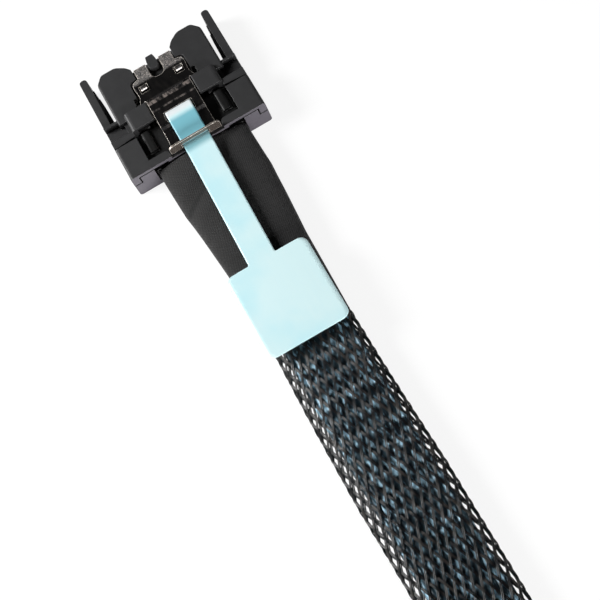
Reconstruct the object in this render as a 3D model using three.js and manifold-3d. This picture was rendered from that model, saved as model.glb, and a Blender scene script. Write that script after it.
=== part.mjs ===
// A computer data cable: a wide plug with a sprung metal latch and a film pull tab, a cloth-wrapped
// flat cable in a braided sleeve that is folded into a tied hank, and a second plug at its far end.
// Millimetres, +Z up. The first plug lies on its flat underside and mates towards +Y. The origin is
// the centre of its body's underside. The cable leaves it towards -Y.

import * as THREE from "three";
import { mergeVertices } from "three/addons/utils/BufferGeometryUtils.js";
import Module from "manifold-3d";

const wasm = await Module();
wasm.setup();

// Clearance between pieces that touch.
const fitGap = 0.3;

// Plug body: a tray that the cable enters from behind, closed by a cover.
const bodyLength = 15.4;
const bodyHeight = 7.2;
const floorStep = 0.5;
const channelWidth = 21.8;
const coverThickness = 0.8;
const skirtThickness = 1.7;
const skirtDepth = 2.9;
const cornerRadius = 0.7;
const coverLength = 8.4;
const rearLipDepth = 2.0;
const rearLinkThickness = 0.55;
const ledgeLength = 2.4;
const ledgeSlant = 0.45;
const ledgeChamfer = 0.5;
const grooveDepth = 2.6;
const frontWall = 0.6;
const sideInset = 0.05;

// Nose: the hollow blade that enters the socket, with two lobes in front.
const noseDrop = 6.5;
const noseFloor = 0.9;
const noseLength = 11.9;
const noseNotchDepth = 2.7;
const noseNotchWidth = 9.5;
const lobeSlopeWidth = 3.05;
const lobeCornerWidth = 1.7;
const lobeCornerDepth = 2.0;
const noseEdgeRadius = 0.5;
const noseRoof = 0.5;
const noseRoot = 1.0;

// Circuit card that the nose surrounds, and the bay that holds it.
const cardThickness = 1.0;
const cardLength = 20.4;
const cardSetback = 1.2;
const cardBevel = 0.25;
const cardNotchWidth = 1.1;
const cardNotchDepth = 5.0;
const cardNotchPlace = 3.4;
const bayClearance = 0.95;
const baySideGap = 0.3;
const guideWidth = 0.8;
const guideLength = 7.5;

// Guide arms beside the nose: a blade on a lower rail that steps back towards the tip.
const armGap = 0.6;
const armFootDrop = 6.0;
const armRailDrop = 2.6;
const armDrop = 1.6;
const armRailWidth = 0.9;
const armTipWidth = 1.75;
const armTipLength = 3.2;
const armStepLength = 2.6;

// Latch: one bent strip of sheet steel, held under two bridges of the body.
const sheetThickness = 0.35;
const latchRoom = 1.2;
const latchSink = 0.3;
const latchBandRise = 1.15;
const latchRidgeRise = 1.7;
const latchTailRise = 0.8;
const latchFlangeHeight = 2.2;
const latchLandWidth = 9.0;
const latchLandLength = 2.95;
const latchShoulderWidth = 12.6;
const latchShoulderLength = 4.1;
const latchShoulderRadius = 0.9;
const latchBandStart = 1.8;
const latchBandLength = 1.9;
const latchBendRadius = 0.6;
const latchStripWidth = 10.6;
const latchProngWidth = 17.2;
const latchFlangeWidth = 12.1;
const latchFlangeRadius = 1.2;
const latchFlangeInset = 0.6;
const latchDropLength = 1.0;
const latchSideGap = 0.35;
const latchPocketWidth = 0.85;
const latchPocketLength = 1.6;
const prongSlit = 0.45;
const prongEndInset = 0.65;
const slotLength = 2.65;
const slotSetback = 7.25;
const hookThickness = 0.3;
const hookHeight = 0.85;
const hookLength = 1.6;
const hookWidth = 1.4;
const hookSpacing = 8.6;
const hookSetback = 1.5;

// Key: the post that stands in the notch at the front of the latch.
const keyWidth = 2.2;
const keyTipWidth = 1.65;
const keyTipLength = 1.4;
const keyLength = 3.6;
const keyReach = 1.0;
const keyRise = 0.1;
const keyGap = 0.5;
const keyNotchRun = 2.1;

// Bridges over the latch's side prongs.
const bridgeLength = 4.85;
const bridgeSeat = 0.15;
const bridgeLeg = 1.15;
const bridgeRoof = 0.65;
const bridgeRadius = 1.0;
const prongRoom = 0.475;
const prongBearing = 1.4;
const shelfThickness = 0.5;

// Grip: the block moulded over the ribbon cables and the card's rear, with two posts on top.
const gripSideGap = 0.4;
const gripRoof = 0.45;
const postRise = 0.8;
const postWidth = 2.2;
const postInset = 0.9;
const postLength = 5.3;
const postRadius = 0.7;

// Ribbon cable ends on both faces of the card.
const ribbonWidth = 14.8;
const ribbonThickness = 0.6;
const ribbonLap = 0.6;
const ribbonJacketLength = 3.0;
const conductorLength = 1.3;
const conductorThickness = 0.25;
const conductorCount = 16;
const conductorWidth = 0.45;

// Pull tab: a film strap threaded through the latch, with a wide handle.
const filmThickness = 0.5;
const filmBend = 1.0;
const filmTuck = 6.4;
const strapWidth = 6.1;
const strapDrift = 0.6;
const handleWidth = 18.3;
const handleCorner = 2.2;
const strapFillet = 0.4;

// Cable: ribbons in a braided sleeve, its ends wrapped in cloth tape.
const cableWidth = 18.2;
const cableThickness = 6.2;
const cableFloor = 0.1;
const wrapDrop = 0.8;
const sectionSides = 16;
const sectionFlatness = 0.6;
const runSteps = 8;
const nearWrapRear = -56.3;
const farWrapLength = 23.9;
const farWrapWidth = 20.6;

// Hank: three runs of the cable with a fold at each end, and the second plug lying on it.
const hankX = 1.6;
const hankStart = -135.7;
const hankLength = 156;
const foldRadius = 8;
const foldSteps = 10;
const rampLength = 26;
const runGap = 0.3;
const plugClearance = 3.8;
const tieWidth = 12;
const tieThickness = 1.0;
const tieSetback = 46.3;
const tieBite = 1.4;
const tieFlapWidth = 10.0;

// What sets the two plugs apart. The arm band is from the plug's side in to the nose, and the nose
// wall from there in to the card. The arm's tip and the handle's front are measured along Y from
// the middle of the body, and the key's shift is across it.
const nearPlug = {
  name: "near",
  width: 32.4,
  armBand: 3.3,
  noseWall: 1.3,
  armTip: 21.6,
  keyShift: 0,
  handleFront: -39.6,
  handleLength: 20.2,
};
const farPlug = {
  name: "far",
  width: 31.0,
  armBand: 3.0,
  noseWall: 1.2,
  armTip: 17.4,
  keyShift: 0.6,
  handleFront: -20.0,
  handleLength: 12.0,
};

// Half widths of the nose and of the card.
const noseSide = (plug) => plug.width / 2 - plug.armBand;
const cardSide = (plug) => noseSide(plug) - plug.noseWall;

// Places along the plug that follow from the sizes above.
const bodyFront = bodyLength / 2;
const bodyRear = -bodyLength / 2;
const coverFront = bodyRear + coverLength;
const ledgeRear = coverFront + fitGap;
const ledgeFront = ledgeRear + ledgeLength;
const grooveFront = bodyFront - frontWall;
const noseRear = grooveFront - noseRoot;
const noseTip = bodyFront + noseLength;
const noseNotch = noseTip - noseNotchDepth;
const cardFront = noseTip - cardSetback;
const cardRear = cardFront - cardLength;
const latchFront = noseNotch - latchSideGap;
const latchLandEnd = latchFront - latchLandLength;
const shoulderEnd = latchLandEnd - latchShoulderLength;
const slotFront = shoulderEnd - slotSetback;
const slotRear = slotFront - slotLength;
const hookFront = latchLandEnd - hookSetback;
const bridgeFront = grooveFront + bridgeSeat;
const bridgeRear = bridgeFront - bridgeLength;
const gripFront = bridgeRear - fitGap;
const ribbonRear = cardRear - ribbonLap;

// Levels in the plug. The groove, the arms and the nose's underside are set down from the body's
// top, and what the nose holds is built up from its underside.
const grooveFloor = bodyHeight - grooveDepth;
const armBottom = bodyHeight - armFootDrop;
const armRailTop = bodyHeight - armRailDrop;
const armTop = bodyHeight - armDrop;
const noseBottom = bodyHeight - noseDrop;
const floorThickness = noseBottom + floorStep;
const wrapThickness = bodyHeight - wrapDrop;
const bayBottom = noseBottom + noseFloor;
const cardBottom = bayBottom + bayClearance;
const cardTop = cardBottom + cardThickness;
const bayTop = cardTop + bayClearance;
const latchFloor = bayTop + noseRoof;
const plateLevel = latchFloor + latchRoom;
const noseTop = plateLevel + latchSink;
const ridgeTop = plateLevel + latchRidgeRise + sheetThickness / 2;
const tailLevel = plateLevel + latchTailRise;
const tailTop = tailLevel + sheetThickness / 2;
const tailBottom = tailLevel - sheetThickness / 2;
const strapLevel = tailTop + fitGap + filmThickness / 2;
const bridgeUnder = plateLevel + sheetThickness / 2 + prongRoom;
const bridgeTop = bridgeUnder + bridgeRoof;
const shelfTop = plateLevel - sheetThickness / 2 - fitGap;
const ribbonTop = cardTop + fitGap + ribbonThickness;
const gripTop = ribbonTop + fitGap + gripRoof;

// Half widths that several pieces share.
const channelSide = channelWidth / 2;
const bridgeOuter = channelSide + bridgeSeat;
const bridgeInner = latchStripWidth / 2 + fitGap;
const windowSide = strapWidth / 2 + fitGap;
const flangeRoom = latchFlangeWidth / 2 + fitGap;

// Places in the hank.
const runPitch = cableThickness + runGap;
const outerFold = foldRadius + cableThickness / 2;
const nearFoldY = hankStart - outerFold;
const farFoldY = hankStart - hankLength + outerFold;
const farPlugBase = cableFloor + 2 * runPitch;
const farPlugY = farFoldY + rampLength + plugClearance + noseTip;
const tieMiddle = hankStart - tieSetback;

// The first cloth wrap: its middle in x and y, and its width there.
const wrapRoute = [
  [0.1, bodyRear - fitGap, 21.4],
  [0.45, -19.5, 21.2],
  [0.65, -22.5, 20.6],
  [0.8, -37, 18.4],
  [0.8, nearWrapRear, 17.6],
];

// The middle of the cable between the cloth wrap and the hank, in x and y.
const runRoute = [
  [0.8, nearWrapRear - fitGap],
  [0.7, -72],
  [0.9, -88],
  [1.2, -104],
  [1.5, -120],
  [hankX, hankStart + fitGap],
];

// Colours and finishes.
function finish(name, color, roughness, metalness) {
  return new THREE.MeshStandardMaterial({ name, color, roughness, metalness });
}
const blackPlastic = finish("black_plastic", 0x38383a, 0.62, 0);
const latchSteel = finish("latch_steel", 0xb9b2aa, 0.28, 1);
const boardGreen = finish("board_green", 0x1d4a33, 0.45, 0);
const gripBlack = finish("grip_black", 0x17171a, 0.55, 0);
const ribbonBlue = finish("ribbon_blue", 0x5f7c88, 0.4, 0);
const tabFilm = finish("tab_film", 0xcff3fc, 0.3, 0);
const clothBlack = finish("cloth_black", 0x2b2a2b, 0.9, 0);
const sleeveBlack = finish("sleeve_black", 0x1c1c1f, 0.5, 0);
const tieBlack = finish("tie_black", 0x222224, 0.85, 0);

// A closed geometry as a solid that can be joined and cut.
function solidOf(geometry) {
  const bare = geometry.index ? geometry.toNonIndexed() : geometry.clone();
  bare.deleteAttribute("normal");
  bare.deleteAttribute("uv");
  const merged = mergeVertices(bare, 1e-4);
  return new wasm.Manifold(
    new wasm.Mesh({
      numProp: 3,
      vertProperties: new Float32Array(merged.attributes.position.array),
      triVerts: new Uint32Array(merged.index.array),
    }),
  );
}

// A solid as a named mesh of one finish.
function meshOf(name, solid, material) {
  const { vertProperties, triVerts } = solid.getMesh();
  const geometry = new THREE.BufferGeometry();
  geometry.setAttribute("position", new THREE.BufferAttribute(vertProperties, 3));
  geometry.setIndex(new THREE.BufferAttribute(triVerts, 1));
  const faceted = geometry.toNonIndexed();
  faceted.computeVertexNormals();
  const mesh = new THREE.Mesh(faceted, material);
  mesh.name = name;
  return mesh;
}

function box([x0, x1], [y0, y1], [z0, z1]) {
  const geometry = new THREE.BoxGeometry(x1 - x0, y1 - y0, z1 - z0);
  return solidOf(geometry.translate((x0 + x1) / 2, (y0 + y1) / 2, (z0 + z1) / 2));
}

// The same box on the left (-1) or the right (1), with x0 and x1 measured outwards.
function sideBox(side, [x0, x1], ys, zs) {
  return box(side > 0 ? [x0, x1] : [-x1, -x0], ys, zs);
}

function extruded(shape, depth) {
  return new THREE.ExtrudeGeometry(shape, { depth, bevelEnabled: false, curveSegments: 4 });
}

// A plan outline, in x and y, raised from z0 to z1.
function raised(shape, z0, z1) {
  return solidOf(extruded(shape, z1 - z0).translate(0, 0, z0));
}

// A side outline, in y and z, carried across from x0 to x1.
function carriedAcross(shape, x0, x1) {
  const turn = new THREE.Matrix4().makeBasis(
    new THREE.Vector3(0, 1, 0),
    new THREE.Vector3(0, 0, 1),
    new THREE.Vector3(1, 0, 0),
  );
  return solidOf(extruded(shape, x1 - x0).applyMatrix4(turn).translate(x0, 0, 0));
}

// A front outline, in x and z, carried along from y0 to y1.
function carriedAlong(shape, y0, y1) {
  const turn = new THREE.Matrix4().makeBasis(
    new THREE.Vector3(1, 0, 0),
    new THREE.Vector3(0, 0, 1),
    new THREE.Vector3(0, -1, 0),
  );
  return solidOf(extruded(shape, y1 - y0).applyMatrix4(turn).translate(0, y1, 0));
}

// Draws through corners [x, y] or [x, y, r], where r is how far before and after a corner its
// rounding starts. The ends of an open path stay sharp.
function drawn(path, corners, closed) {
  const count = corners.length;
  corners.forEach(([x, y, r = 0], i) => {
    const atEnd = !closed && (i === 0 || i === count - 1);
    const towards = (j) => {
      const [nx, ny] = corners[(j + count) % count];
      return new THREE.Vector2(nx - x, ny - y).setLength(atEnd ? 0 : r);
    };
    const before = towards(i - 1);
    const after = towards(i + 1);
    if (i) path.lineTo(x + before.x, y + before.y);
    else path.moveTo(x + before.x, y + before.y);
    if (r && !atEnd) path.quadraticCurveTo(x, y, x + after.x, y + after.y);
  });
  return path;
}

function outline(corners) {
  return drawn(new THREE.Shape(), corners, true);
}

// The corners on the right, followed by their mirror images on the left.
function bothSides(right) {
  return [...right, ...right.map(([x, ...rest]) => [-x, ...rest]).reverse()];
}

// The corners of one side, which is the left (-1) or the right (1).
function oneSide(side, right) {
  return right.map(([x, ...rest]) => [side * x, ...rest]);
}

function roundedRectangle([x0, x1], [y0, y1], r) {
  return outline([[x0, y0, r], [x1, y0, r], [x1, y1, r], [x0, y1, r]]);
}

// Sheet or film of even thickness bent along a side path with rounded corners.
function bentSheet(corners, thickness) {
  const path = drawn(new THREE.Path(), corners, false);
  const points = path.getPoints(4).filter((p, i, all) => !i || p.distanceTo(all[i - 1]) > 1e-3);
  const offset = (i, side) => {
    const before = points[Math.max(i - 1, 0)];
    const after = points[Math.min(i + 1, points.length - 1)];
    const normal = new THREE.Vector2(before.y - after.y, after.x - before.x).normalize();
    return points[i].clone().addScaledVector(normal, (side * thickness) / 2);
  };
  const left = points.map((_, i) => offset(i, 1));
  const right = points.map((_, i) => offset(i, -1)).reverse();
  return new THREE.Shape([...left, ...right]);
}

// Plan outline of the nose: two lobes in front, their outer corners cut and their inner sides sloped.
function nose(plug) {
  const half = noseSide(plug);
  const notch = noseNotchWidth / 2;
  const right = [
    [half, noseRear],
    [half, noseTip - lobeCornerDepth, 0.5],
    [half - lobeCornerWidth, noseTip, 0.6],
    [notch + lobeSlopeWidth, noseTip, 0.7],
    [notch + lobeSlopeWidth / 3, noseNotch + noseNotchDepth / 2, 0.5],
    [notch, noseNotch],
  ];
  const plan = raised(outline(bothSides(right)), 0, noseTop + 1);
  const section = roundedRectangle([-half, half], [noseBottom, noseTop], noseEdgeRadius);
  return plan.intersect(carriedAlong(section, noseRear, noseTip + 1));
}

// Room for the latch in the nose's roof: narrow in front, with a pocket behind each shoulder,
// and wide where the prongs run under the bridges.
function latchRecess() {
  const narrow = latchLandWidth / 2 + latchSideGap;
  const wide = latchShoulderWidth / 2 + latchSideGap;
  const pocket = wide + latchPocketWidth;
  const prong = latchProngWidth / 2 + latchSideGap;
  const pocketFront = shoulderEnd + latchSideGap;
  const right = [
    [prong, bodyRear],
    [prong, bridgeFront],
    [pocket, pocketFront - latchPocketLength],
    [pocket, pocketFront],
    [wide, pocketFront],
    [wide, latchLandEnd + latchSideGap, latchShoulderRadius],
    [narrow, latchLandEnd + 2 * latchSideGap],
    [narrow, noseTip],
  ];
  return raised(outline(bothSides(right)), latchFloor, bodyHeight + 1);
}

// The key: a post with a narrower tip in front and a round end behind.
function keyPost(plug) {
  const half = keyWidth / 2;
  const front = noseNotch + keyReach;
  const corners = bothSides([
    [half, front - keyLength, half],
    [half, front - keyTipLength],
    [keyTipWidth / 2, front, 0.2],
  ]);
  const shifted = corners.map(([x, ...rest]) => [x + plug.keyShift, ...rest]);
  return raised(outline(shifted), latchFloor - noseRoof / 2, noseTop + keyRise);
}

// One guide arm: a blade with a round tip, and a lower rail on its inner side that steps back.
function guideArm(plug, side) {
  const outer = plug.width / 2 - sideInset;
  const inner = noseSide(plug) + armGap;
  const tipInner = outer - armTipWidth;
  const step = (tipInner - inner) / 3;
  const tip = plug.armTip;
  const firstStep = tip - armTipLength;
  const secondStep = firstStep - armStepLength;
  const round = armTipWidth / 2;
  const front = [[tipInner, tip, round], [outer, tip, round], [outer, grooveFront]];
  const rail = outline(oneSide(side, [
    [inner, grooveFront],
    [inner + step, secondStep],
    [inner + 2 * step, secondStep],
    [inner + 2 * step, firstStep],
    [tipInner, firstStep],
    ...front,
  ]));
  const blade = outline(oneSide(side, [
    [inner + armRailWidth, grooveFront],
    [tipInner, firstStep],
    ...front,
  ]));
  return raised(rail, armBottom, armRailTop).add(raised(blade, armBottom, armTop));
}

// One bridge: a leg on the channel's wall, a roof over the latch's prong, and a shelf under it.
function bridge(side) {
  const legInner = bridgeOuter - bridgeLeg;
  const foot = grooveFloor - fitGap;
  const arch = outline(oneSide(side, [
    [bridgeOuter, foot],
    [bridgeOuter, bridgeTop, bridgeRadius],
    [bridgeInner, bridgeTop, bridgeRadius / 4],
    [bridgeInner, bridgeUnder],
    [legInner, bridgeUnder],
    [legInner, foot],
  ]));
  const shelf = sideBox(
    side,
    [latchProngWidth / 2 - prongBearing, channelSide + 1],
    [bridgeRear, bridgeFront],
    [shelfTop - shelfThickness, shelfTop],
  );
  return carriedAlong(arch, bridgeRear, bridgeFront).add(shelf);
}

// The ledge in front of the cover: its rear edge slants away and its front edge is chamfered.
function ledge(plug, side) {
  const outer = plug.width / 2 - sideInset;
  const top = bodyHeight - fitGap;
  const foot = grooveFloor - 1;
  const plan = outline(oneSide(side, [
    [outer, ledgeRear],
    [channelSide, ledgeRear + ledgeSlant],
    [channelSide, ledgeFront],
    [outer, ledgeFront],
  ]));
  const slope = outline([
    [ledgeRear, foot],
    [ledgeRear, top],
    [ledgeFront - ledgeChamfer, top],
    [ledgeFront, top - ledgeChamfer],
    [ledgeFront, foot],
  ]);
  return raised(plan, foot, top).intersect(carriedAcross(slope, -plug.width, plug.width));
}

// The tray: round lower corners, a step at each side for the cover's skirt, and the groove.
function tray(plug) {
  const half = plug.width / 2;
  const top = bodyHeight - coverThickness - fitGap;
  const section = outline(bothSides([[half, 0, cornerRadius], [half, top]]));
  let solid = carriedAlong(section, bodyRear, bodyFront);
  for (const side of [-1, 1]) {
    const step = sideBox(
      side,
      [half - skirtThickness - fitGap, half + 1],
      [bodyRear - 1, ledgeRear],
      [bodyHeight - skirtDepth - fitGap, bodyHeight],
    );
    solid = solid.subtract(step);
  }
  return solid.subtract(
    box([-half - 1, half + 1], [ledgeRear, grooveFront], [grooveFloor, bodyHeight]),
  );
}

// Room for the card: slots in the body's side walls, and the hollow of the nose.
function cardBay(plug) {
  const half = cardSide(plug) + baySideGap;
  const slots = box(
    [-half, half],
    [cardRear - fitGap, noseTip + 1],
    [cardBottom - fitGap, cardTop + fitGap],
  );
  return slots.add(box([-half, half], [noseRear, noseTip + 1], [bayBottom, bayTop]));
}

// Ribs in the nose, above and below each edge of the card.
function cardGuide(plug, side) {
  const edge = cardSide(plug);
  const xs = [edge - guideWidth, edge + 2 * baySideGap];
  const ys = [bodyFront, bodyFront + guideLength];
  const bite = noseRoof / 2;
  const lower = sideBox(side, xs, ys, [bayBottom - bite, cardBottom - fitGap]);
  const upper = sideBox(side, xs, ys, [cardTop + fitGap, bayTop + bite]);
  return lower.add(upper);
}

// The housing is moulded in one piece: tray, ledges, nose, guide arms, bridges and key.
function housing(plug) {
  let solid = tray(plug);
  for (const side of [-1, 1]) {
    solid = solid.add(ledge(plug, side)).add(guideArm(plug, side));
  }
  solid = solid.add(nose(plug)).subtract(latchRecess());
  const channel = box(
    [-channelSide, channelSide],
    [bodyRear - 1, noseRear],
    [floorThickness, bodyHeight + 1],
  );
  solid = solid.subtract(channel).subtract(cardBay(plug));
  for (const side of [-1, 1]) {
    solid = solid.add(bridge(side)).add(cardGuide(plug, side));
  }
  return solid.add(keyPost(plug));
}

// One side of the cover: a plate that turns down into a skirt, with a lip along the rear.
function coverSide(plug, side) {
  const half = plug.width / 2;
  const under = bodyHeight - coverThickness;
  const skirtInner = half - skirtThickness;
  const section = outline(oneSide(side, [
    [half, bodyHeight - skirtDepth],
    [half, bodyHeight, cornerRadius],
    [channelSide, bodyHeight],
    [channelSide, under],
    [skirtInner, under],
    [skirtInner, bodyHeight - skirtDepth],
  ]));
  const lipFront = bodyRear + rearLipDepth;
  const lip = outline(oneSide(side, [
    [skirtInner, bodyRear],
    [flangeRoom, bodyRear],
    [flangeRoom, lipFront, rearLipDepth / 2],
    [skirtInner, lipFront],
  ]));
  return carriedAlong(section, bodyRear, coverFront).add(raised(lip, under, bodyHeight));
}

// The cover: two sides joined by a low link that runs under the latch.
function cover(plug) {
  const reach = flangeRoom + rearLipDepth / 2;
  const linkTop = bodyHeight - coverThickness + 0.05;
  const link = box(
    [-reach, reach],
    [bodyRear, bodyRear + rearLipDepth / 2],
    [linkTop - rearLinkThickness, linkTop],
  );
  return link.add(coverSide(plug, -1)).add(coverSide(plug, 1));
}

// The latch from the side: flat plate, raised band, rising strip, drop, flat tail.
function latchSection() {
  const band = shoulderEnd - latchBandStart;
  const rise = latchBandRise * 0.7;
  return bentSheet(
    [
      [latchFront, plateLevel],
      [band, plateLevel, latchBendRadius],
      [band - rise, plateLevel + latchBandRise, latchBendRadius],
      [band - rise - latchBandLength, plateLevel + latchBandRise, latchBendRadius],
      [slotRear, plateLevel + latchRidgeRise, latchBendRadius / 2],
      [slotRear - latchDropLength, tailLevel, latchBendRadius / 2],
      [bodyRear + latchFlangeInset + 0.1, tailLevel],
    ],
    sheetThickness,
  );
}

// The latch's strip from above: land in front, shoulders, then the narrower strip.
function latchOutline() {
  const strip = latchStripWidth / 2;
  const shoulder = latchShoulderWidth / 2;
  const land = latchLandWidth / 2;
  const right = [
    [strip, bodyRear],
    [strip, shoulderEnd - latchBandStart],
    [shoulder - 0.2, shoulderEnd],
    [shoulder, latchLandEnd, latchShoulderRadius],
    [land, latchLandEnd + latchSideGap],
    [land, latchFront + 1],
  ];
  return outline(bothSides(right));
}

// One prong: it runs back from the shoulder, beside the strip, into its bridge.
function latchProng(side) {
  const inner = latchStripWidth / 2 + prongSlit;
  const outer = latchProngWidth / 2;
  const shoulder = latchShoulderWidth / 2;
  const wing = shoulderEnd - latchPocketLength;
  const plan = outline(oneSide(side, [
    [inner, bridgeRear + prongEndInset],
    [outer, bridgeRear + prongEndInset],
    [outer, bridgeFront - latchSideGap, 0.3],
    [shoulder + latchSideGap, wing + fitGap, 0.3],
    [shoulder - 0.2, shoulderEnd],
    [inner - 1, shoulderEnd],
    [inner - 1, wing + 0.5],
    [inner, wing + 0.1],
  ]));
  return raised(plan, plateLevel - sheetThickness / 2, plateLevel + sheetThickness / 2);
}

// The notch at the front of the latch, round at its inner end, that clears the key.
function keyNotch(plug) {
  const half = keyWidth / 2 + keyGap;
  const end = noseNotch + keyReach - keyLength - keyNotchRun;
  const corners = bothSides([[half, end, half], [half, latchFront + 1]]);
  const shifted = corners.map(([x, ...rest]) => [x + plug.keyShift, ...rest]);
  return raised(outline(shifted), latchFloor, bodyHeight);
}

// A hook's place on the left or the right: a tongue cut from the plate and bent up so that it
// rises towards the rear.
function withHook(solid, side) {
  const middle = (side * hookSpacing) / 2;
  const room = hookWidth / 2 + fitGap;
  const cut = box(
    [middle - room, middle + room],
    [hookFront - hookLength - fitGap, hookFront],
    [latchFloor, bodyHeight],
  );
  const section = bentSheet(
    [
      [hookFront + fitGap, plateLevel],
      [hookFront - 0.2, plateLevel],
      [hookFront - hookLength, plateLevel + hookHeight],
    ],
    hookThickness,
  );
  const tongue = carriedAcross(section, middle - hookWidth / 2, middle + hookWidth / 2);
  return solid.subtract(cut).add(tongue);
}

// The upright at the rear end, with the window that the strap passes through.
function latchFlange() {
  const half = latchFlangeWidth / 2;
  const y0 = bodyRear + latchFlangeInset;
  const around = [y0 - 1, y0 + 1];
  const levels = [tailBottom - latchFlangeRadius, tailTop + latchFlangeHeight];
  const plate = roundedRectangle([-half, half], levels, latchFlangeRadius);
  const below = box([-half - 1, half + 1], around, [levels[0] - 1, tailBottom]);
  const low = tailTop + 0.05;
  const opening = box([-windowSide, windowSide], around, [low, low + filmThickness + 2 * fitGap]);
  return carriedAlong(plate, y0, y0 + sheetThickness).subtract(below).subtract(opening);
}

function latch(plug) {
  const whole = carriedAcross(latchSection(), -latchProngWidth, latchProngWidth);
  const slot = box([-windowSide, windowSide], [slotRear + 0.05, slotFront], [latchFloor, ridgeTop + 1]);
  let solid = whole
    .intersect(raised(latchOutline(), latchFloor, ridgeTop + 1))
    .subtract(keyNotch(plug))
    .subtract(slot);
  for (const side of [-1, 1]) solid = withHook(solid.add(latchProng(side)), side);
  return solid.add(latchFlange());
}

// The card: bevelled mating edge, and a notch between two groups of contacts.
function card(plug) {
  const half = cardSide(plug);
  const section = outline([
    [cardRear, cardBottom],
    [cardFront - 2 * cardBevel, cardBottom],
    [cardFront, cardBottom + cardBevel],
    [cardFront, cardTop - cardBevel],
    [cardFront - 2 * cardBevel, cardTop],
    [cardRear, cardTop],
  ]);
  const x = cardNotchPlace + plug.keyShift;
  const notch = box(
    [x, x + cardNotchWidth],
    [cardFront - cardNotchDepth, cardFront + 1],
    [cardBottom - 1, cardTop + 1],
  );
  return carriedAcross(section, -half, half).subtract(notch);
}

// The grip fills the channel behind the bridges, with room for the card and the ribbon ends, and
// carries two round-topped posts.
function grip() {
  const half = channelSide - gripSideGap;
  const bottom = floorThickness + fitGap;
  const ribbonRoom = box(
    [-ribbonWidth / 2 - fitGap, ribbonWidth / 2 + fitGap],
    [ribbonRear - fitGap, gripFront + 1],
    [bottom - 1, ribbonTop + fitGap],
  );
  const cardRoom = box(
    [-half - 1, half + 1],
    [cardRear - fitGap, gripFront + 1],
    [cardBottom - fitGap, cardTop + fitGap],
  );
  let solid = box([-half, half], [bodyRear, gripFront], [bottom, gripTop]);
  solid = solid.subtract(ribbonRoom).subtract(cardRoom);
  const outer = channelSide - postInset;
  for (const side of [-1, 1]) {
    const section = outline(oneSide(side, [
      [outer - postWidth, gripTop - gripRoof / 2],
      [outer - postWidth, gripTop + postRise, postRadius],
      [outer, gripTop + postRise, postRadius],
      [outer, gripTop - gripRoof / 2],
    ]));
    solid = solid.add(carriedAlong(section, gripFront - fitGap - postLength, gripFront - fitGap));
  }
  return solid;
}

// A ribbon cable's end: flat jacket, then bare conductors laid on the card.
function ribbonEnd(face) {
  const half = ribbonWidth / 2;
  const bare = ribbonRear + ribbonJacketLength;
  const near = face > 0 ? cardTop + fitGap : cardBottom - fitGap;
  const span = (thickness) => (face > 0 ? [near, near + thickness] : [near - thickness, near]);
  const pitch = ribbonWidth / conductorCount;
  let solid = box([-half, half], [ribbonRear, bare], span(ribbonThickness));
  for (let i = 0; i < conductorCount; i += 1) {
    const x = -half + (i + 0.5) * pitch;
    const xs = [x - conductorWidth / 2, x + conductorWidth / 2];
    solid = solid.add(box(xs, [bare - fitGap, bare + conductorLength], span(conductorThickness)));
  }
  return solid;
}

// The pull tab: tucked under the latch's tail, up through its slot, back over its ridge and
// through its window, then flat to the handle.
function pullTab(plug) {
  const under = tailBottom - fitGap - filmThickness / 2;
  const over = ridgeTop + fitGap + filmThickness / 2;
  const rise = slotFront - fitGap - filmThickness / 2;
  const flatFrom = bodyRear - 2;
  const bent = bentSheet(
    [
      [rise - filmTuck, under],
      [rise, under, filmBend],
      [rise, over, filmBend],
      [slotRear - latchDropLength, over, filmBend],
      [bodyRear + latchFlangeInset + 4 * filmThickness, strapLevel, filmBend],
      [flatFrom - 1, strapLevel],
    ],
    filmThickness,
  );
  const half = strapWidth / 2;
  const hand = handleWidth / 2;
  const front = plug.handleFront;
  const rear = front - plug.handleLength;
  const flat = outline([
    [half, flatFrom],
    [half - strapDrift, front, strapFillet],
    [hand, front, handleCorner],
    [hand, rear, handleCorner],
    [-hand, rear, handleCorner],
    [-hand, front, handleCorner],
    [-half - strapDrift, front, strapFillet],
    [-half, flatFrom],
  ]);
  const low = strapLevel - filmThickness / 2;
  return carriedAcross(bent, -half, half).add(raised(flat, low, low + filmThickness));
}

// A flat bundle: rounded sections joined one after another. A section has its middle point, its
// width across x, its height, and the direction of that height in y and z.
function loft(sections) {
  const positions = [];
  const indices = [];
  const sides = sectionSides;
  const bulge = (v) => Math.sign(v) * Math.abs(v) ** sectionFlatness;
  const sectionPoint = ({ middle: [x, y, z], width, height, up: [upY, upZ] }, k) => {
    const angle = (2 * Math.PI * k) / sides;
    const across = (width / 2) * bulge(Math.cos(angle));
    const rise = (height / 2) * bulge(Math.sin(angle));
    return [x + across, y + rise * upY, z + rise * upZ];
  };
  for (const section of sections) {
    for (let k = 0; k < sides; k += 1) positions.push(...sectionPoint(section, k));
  }
  const quad = (a, b, c, d) => indices.push(a, b, c, a, c, d);
  for (let s = 0; s + 1 < sections.length; s += 1) {
    for (let k = 0; k < sides; k += 1) {
      const next = (k + 1) % sides;
      quad(s * sides + k, s * sides + next, (s + 1) * sides + next, (s + 1) * sides + k);
    }
  }
  const last = (sections.length - 1) * sides;
  for (let k = 1; k + 1 < sides; k += 1) {
    indices.push(0, k + 1, k);
    indices.push(last, last + k, last + k + 1);
  }
  const geometry = new THREE.BufferGeometry();
  geometry.setAttribute("position", new THREE.Float32BufferAttribute(positions, 3));
  geometry.setIndex(indices);
  return solidOf(geometry);
}

// A level section with its underside on the cable's floor.
function levelSection(x, y, width, height) {
  return { middle: [x, y, cableFloor + height / 2], width, height, up: [0, 1] };
}

// Cloth tape round the cable behind the first plug, with the kink where the tape's ends overlap.
function nearWrap() {
  return loft(wrapRoute.map(([x, y, width]) => levelSection(x, y, width, wrapThickness)));
}

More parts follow.
